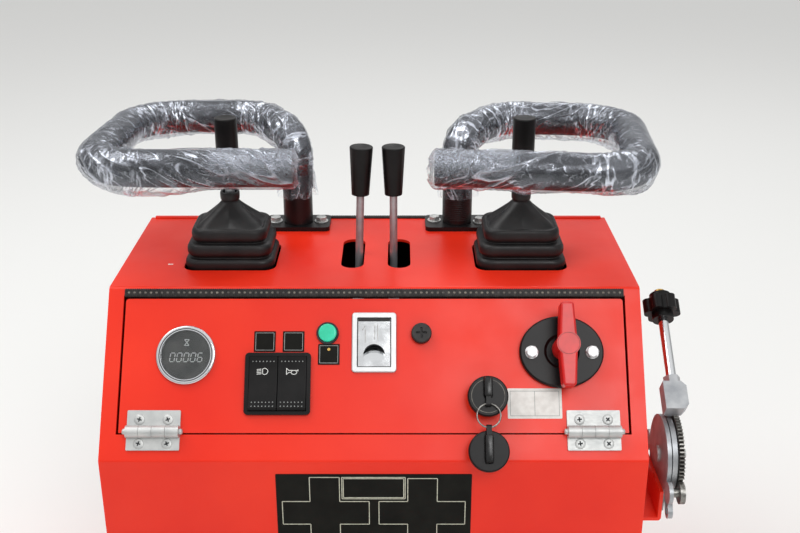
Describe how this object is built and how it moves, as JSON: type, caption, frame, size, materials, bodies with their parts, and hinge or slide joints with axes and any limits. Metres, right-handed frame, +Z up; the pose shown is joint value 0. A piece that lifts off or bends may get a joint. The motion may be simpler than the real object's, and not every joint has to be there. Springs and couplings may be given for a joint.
{
  "type": "loader control console",
  "caption": "Sheet cowl with hinged instrument lid, drive sticks, auxiliary levers, padded grab loops and a side brake lever.",
  "frame": {"origin": "centre of the four base bolts, on the underside of the base flanges", "axes": "X to the operator's right, Y forward to the machine, Z up"},
  "size_m": [0.621, 0.388, 0.615],
  "materials": {
    "cowl_paint": "semi-gloss orange-red machine paint on folded sheet steel",
    "edge_rubber": "ribbed black edge trim",
    "zinc": "zinc plated steel, slightly dull",
    "black_paint": "satin black powder coat",
    "valve_iron": "dark phosphated casting",
    "boot_rubber": "matt black moulded bellows rubber",
    "grip_foam": "black closed cell foam sleeve",
    "grey_steel": "bare grey steel",
    "black_plastic": "fine grained black plastic",
    "red_plastic": "glossy red moulded plastic",
    "bezel_chrome": "bright chrome plate",
    "dial_face": "matt black dial",
    "clear_lens": "clear lens",
    "green_lens": "translucent green lens",
    "brass": "plain brass"
  },
  "bodies": {
    "cowl": {"cowl_shell": "cowl_paint", "rear_cover": "black_paint", "lid_opening_trim": "edge_rubber", "deck_edge_trim": "edge_rubber", "left_hinge_fixed_leaf": "zinc", "right_hinge_fixed_leaf": "zinc", "hinge_pins": "zinc", "control_bridge": "black_paint", "left_stick_valve": "valve_iron", "right_stick_valve": "valve_iron", "left_boot": "boot_rubber", "right_boot": "boot_rubber", "aux_valve": "valve_iron", "left_loop_frame": "black_paint", "right_loop_frame": "black_paint", "left_loop_foam": "grip_foam", "right_loop_foam": "grip_foam", "brake_bracket": "cowl_paint", "brake_mount": "grey_steel", "brake_sector": "grey_steel", "brake_pivot_bolt": "zinc"},
    "lid": {"lid_panel": "cowl_paint", "left_hinge_lid_leaf": "zinc", "right_hinge_lid_leaf": "zinc", "hour_meter_case": "bezel_chrome", "hour_meter_dial": "dial_face", "hour_meter_lens": "clear_lens", "switch_frame": "black_plastic", "lights_rocker": "black_plastic", "horn_rocker": "black_plastic", "pilot_lamp_bezel": "black_plastic", "pilot_lamp_lens": "green_lens", "latch_frame": "bezel_chrome", "latch_paddle": "bezel_chrome", "fuse_holder": "black_plastic", "isolator_base": "black_plastic", "isolator_key": "red_plastic", "ignition_switch": "black_plastic", "ignition_key": "black_plastic"},
    "spare_keys": {"key_ring": "zinc", "spare_key": "black_plastic"},
    "left_gimbal_body": {"left_gimbal": "valve_iron"},
    "left_stick": {"left_stick_lever": "grey_steel", "left_stick_grip": "black_plastic"},
    "right_gimbal_body": {"right_gimbal": "valve_iron"},
    "right_stick": {"right_stick_lever": "grey_steel", "right_stick_grip": "black_plastic"},
    "left_aux": {"left_aux_lever": "grey_steel", "left_aux_grip": "black_plastic"},
    "right_aux": {"right_aux_lever": "grey_steel", "right_aux_grip": "black_plastic"},
    "brake_handle": {"brake_arm": "grey_steel", "brake_knob": "black_plastic", "brake_button": "brass"}
  },
  "joints": [
    {"name": "lid_hinge", "type": "hinge", "parent": "cowl", "child": "lid", "pos_m": [0, -0.14418, 0.34564], "axis": [1, 0, 0], "range_deg": [0, 110]},
    {"name": "key_ring_swing", "type": "hinge", "parent": "lid", "child": "spare_keys", "pos_m": [0.1122, -0.1412, 0.3768], "axis": [1, 0, 0], "range_deg": [-110, 0]},
    {"name": "left_stick_fore_aft", "type": "hinge", "parent": "cowl", "child": "left_gimbal_body", "pos_m": [-0.155, 0.032, 0.39], "axis": [1, 0, 0], "range_deg": [-12, 12], "stiffness_Nm_per_rad": 8, "deforming": ["left_boot"]},
    {"name": "left_stick_sideways", "type": "hinge", "parent": "left_gimbal_body", "child": "left_stick", "pos_m": [-0.155, 0.032, 0.39], "axis": [0, 1, 0], "range_deg": [-12, 12], "stiffness_Nm_per_rad": 8, "deforming": ["left_boot"]},
    {"name": "right_stick_fore_aft", "type": "hinge", "parent": "cowl", "child": "right_gimbal_body", "pos_m": [0.155, 0.032, 0.39], "axis": [1, 0, 0], "range_deg": [-12, 12], "stiffness_Nm_per_rad": 8, "deforming": ["right_boot"]},
    {"name": "right_stick_sideways", "type": "hinge", "parent": "right_gimbal_body", "child": "right_stick", "pos_m": [0.155, 0.032, 0.39], "axis": [0, 1, 0], "range_deg": [-12, 12], "stiffness_Nm_per_rad": 8, "deforming": ["right_boot"]},
    {"name": "left_aux_lever_swing", "type": "hinge", "parent": "cowl", "child": "left_aux", "pos_m": [-0.0205, 0.041, 0.4], "axis": [1, 0, 0], "range_deg": [-18, 18], "stiffness_Nm_per_rad": 6},
    {"name": "right_aux_lever_swing", "type": "hinge", "parent": "cowl", "child": "right_aux", "pos_m": [0.019, 0.041, 0.4], "axis": [1, 0, 0], "range_deg": [-18, 18], "stiffness_Nm_per_rad": 6},
    {"name": "brake_lever_pull", "type": "hinge", "parent": "cowl", "child": "brake_handle", "pos_m": [0.2975, -0.114, 0.302], "axis": [1, 0, 0], "range_deg": [0, 60]}
  ],
  "couplings": [
    {"joint": "key_ring_swing", "follows": "lid_hinge", "ratio": -1}
  ]
}
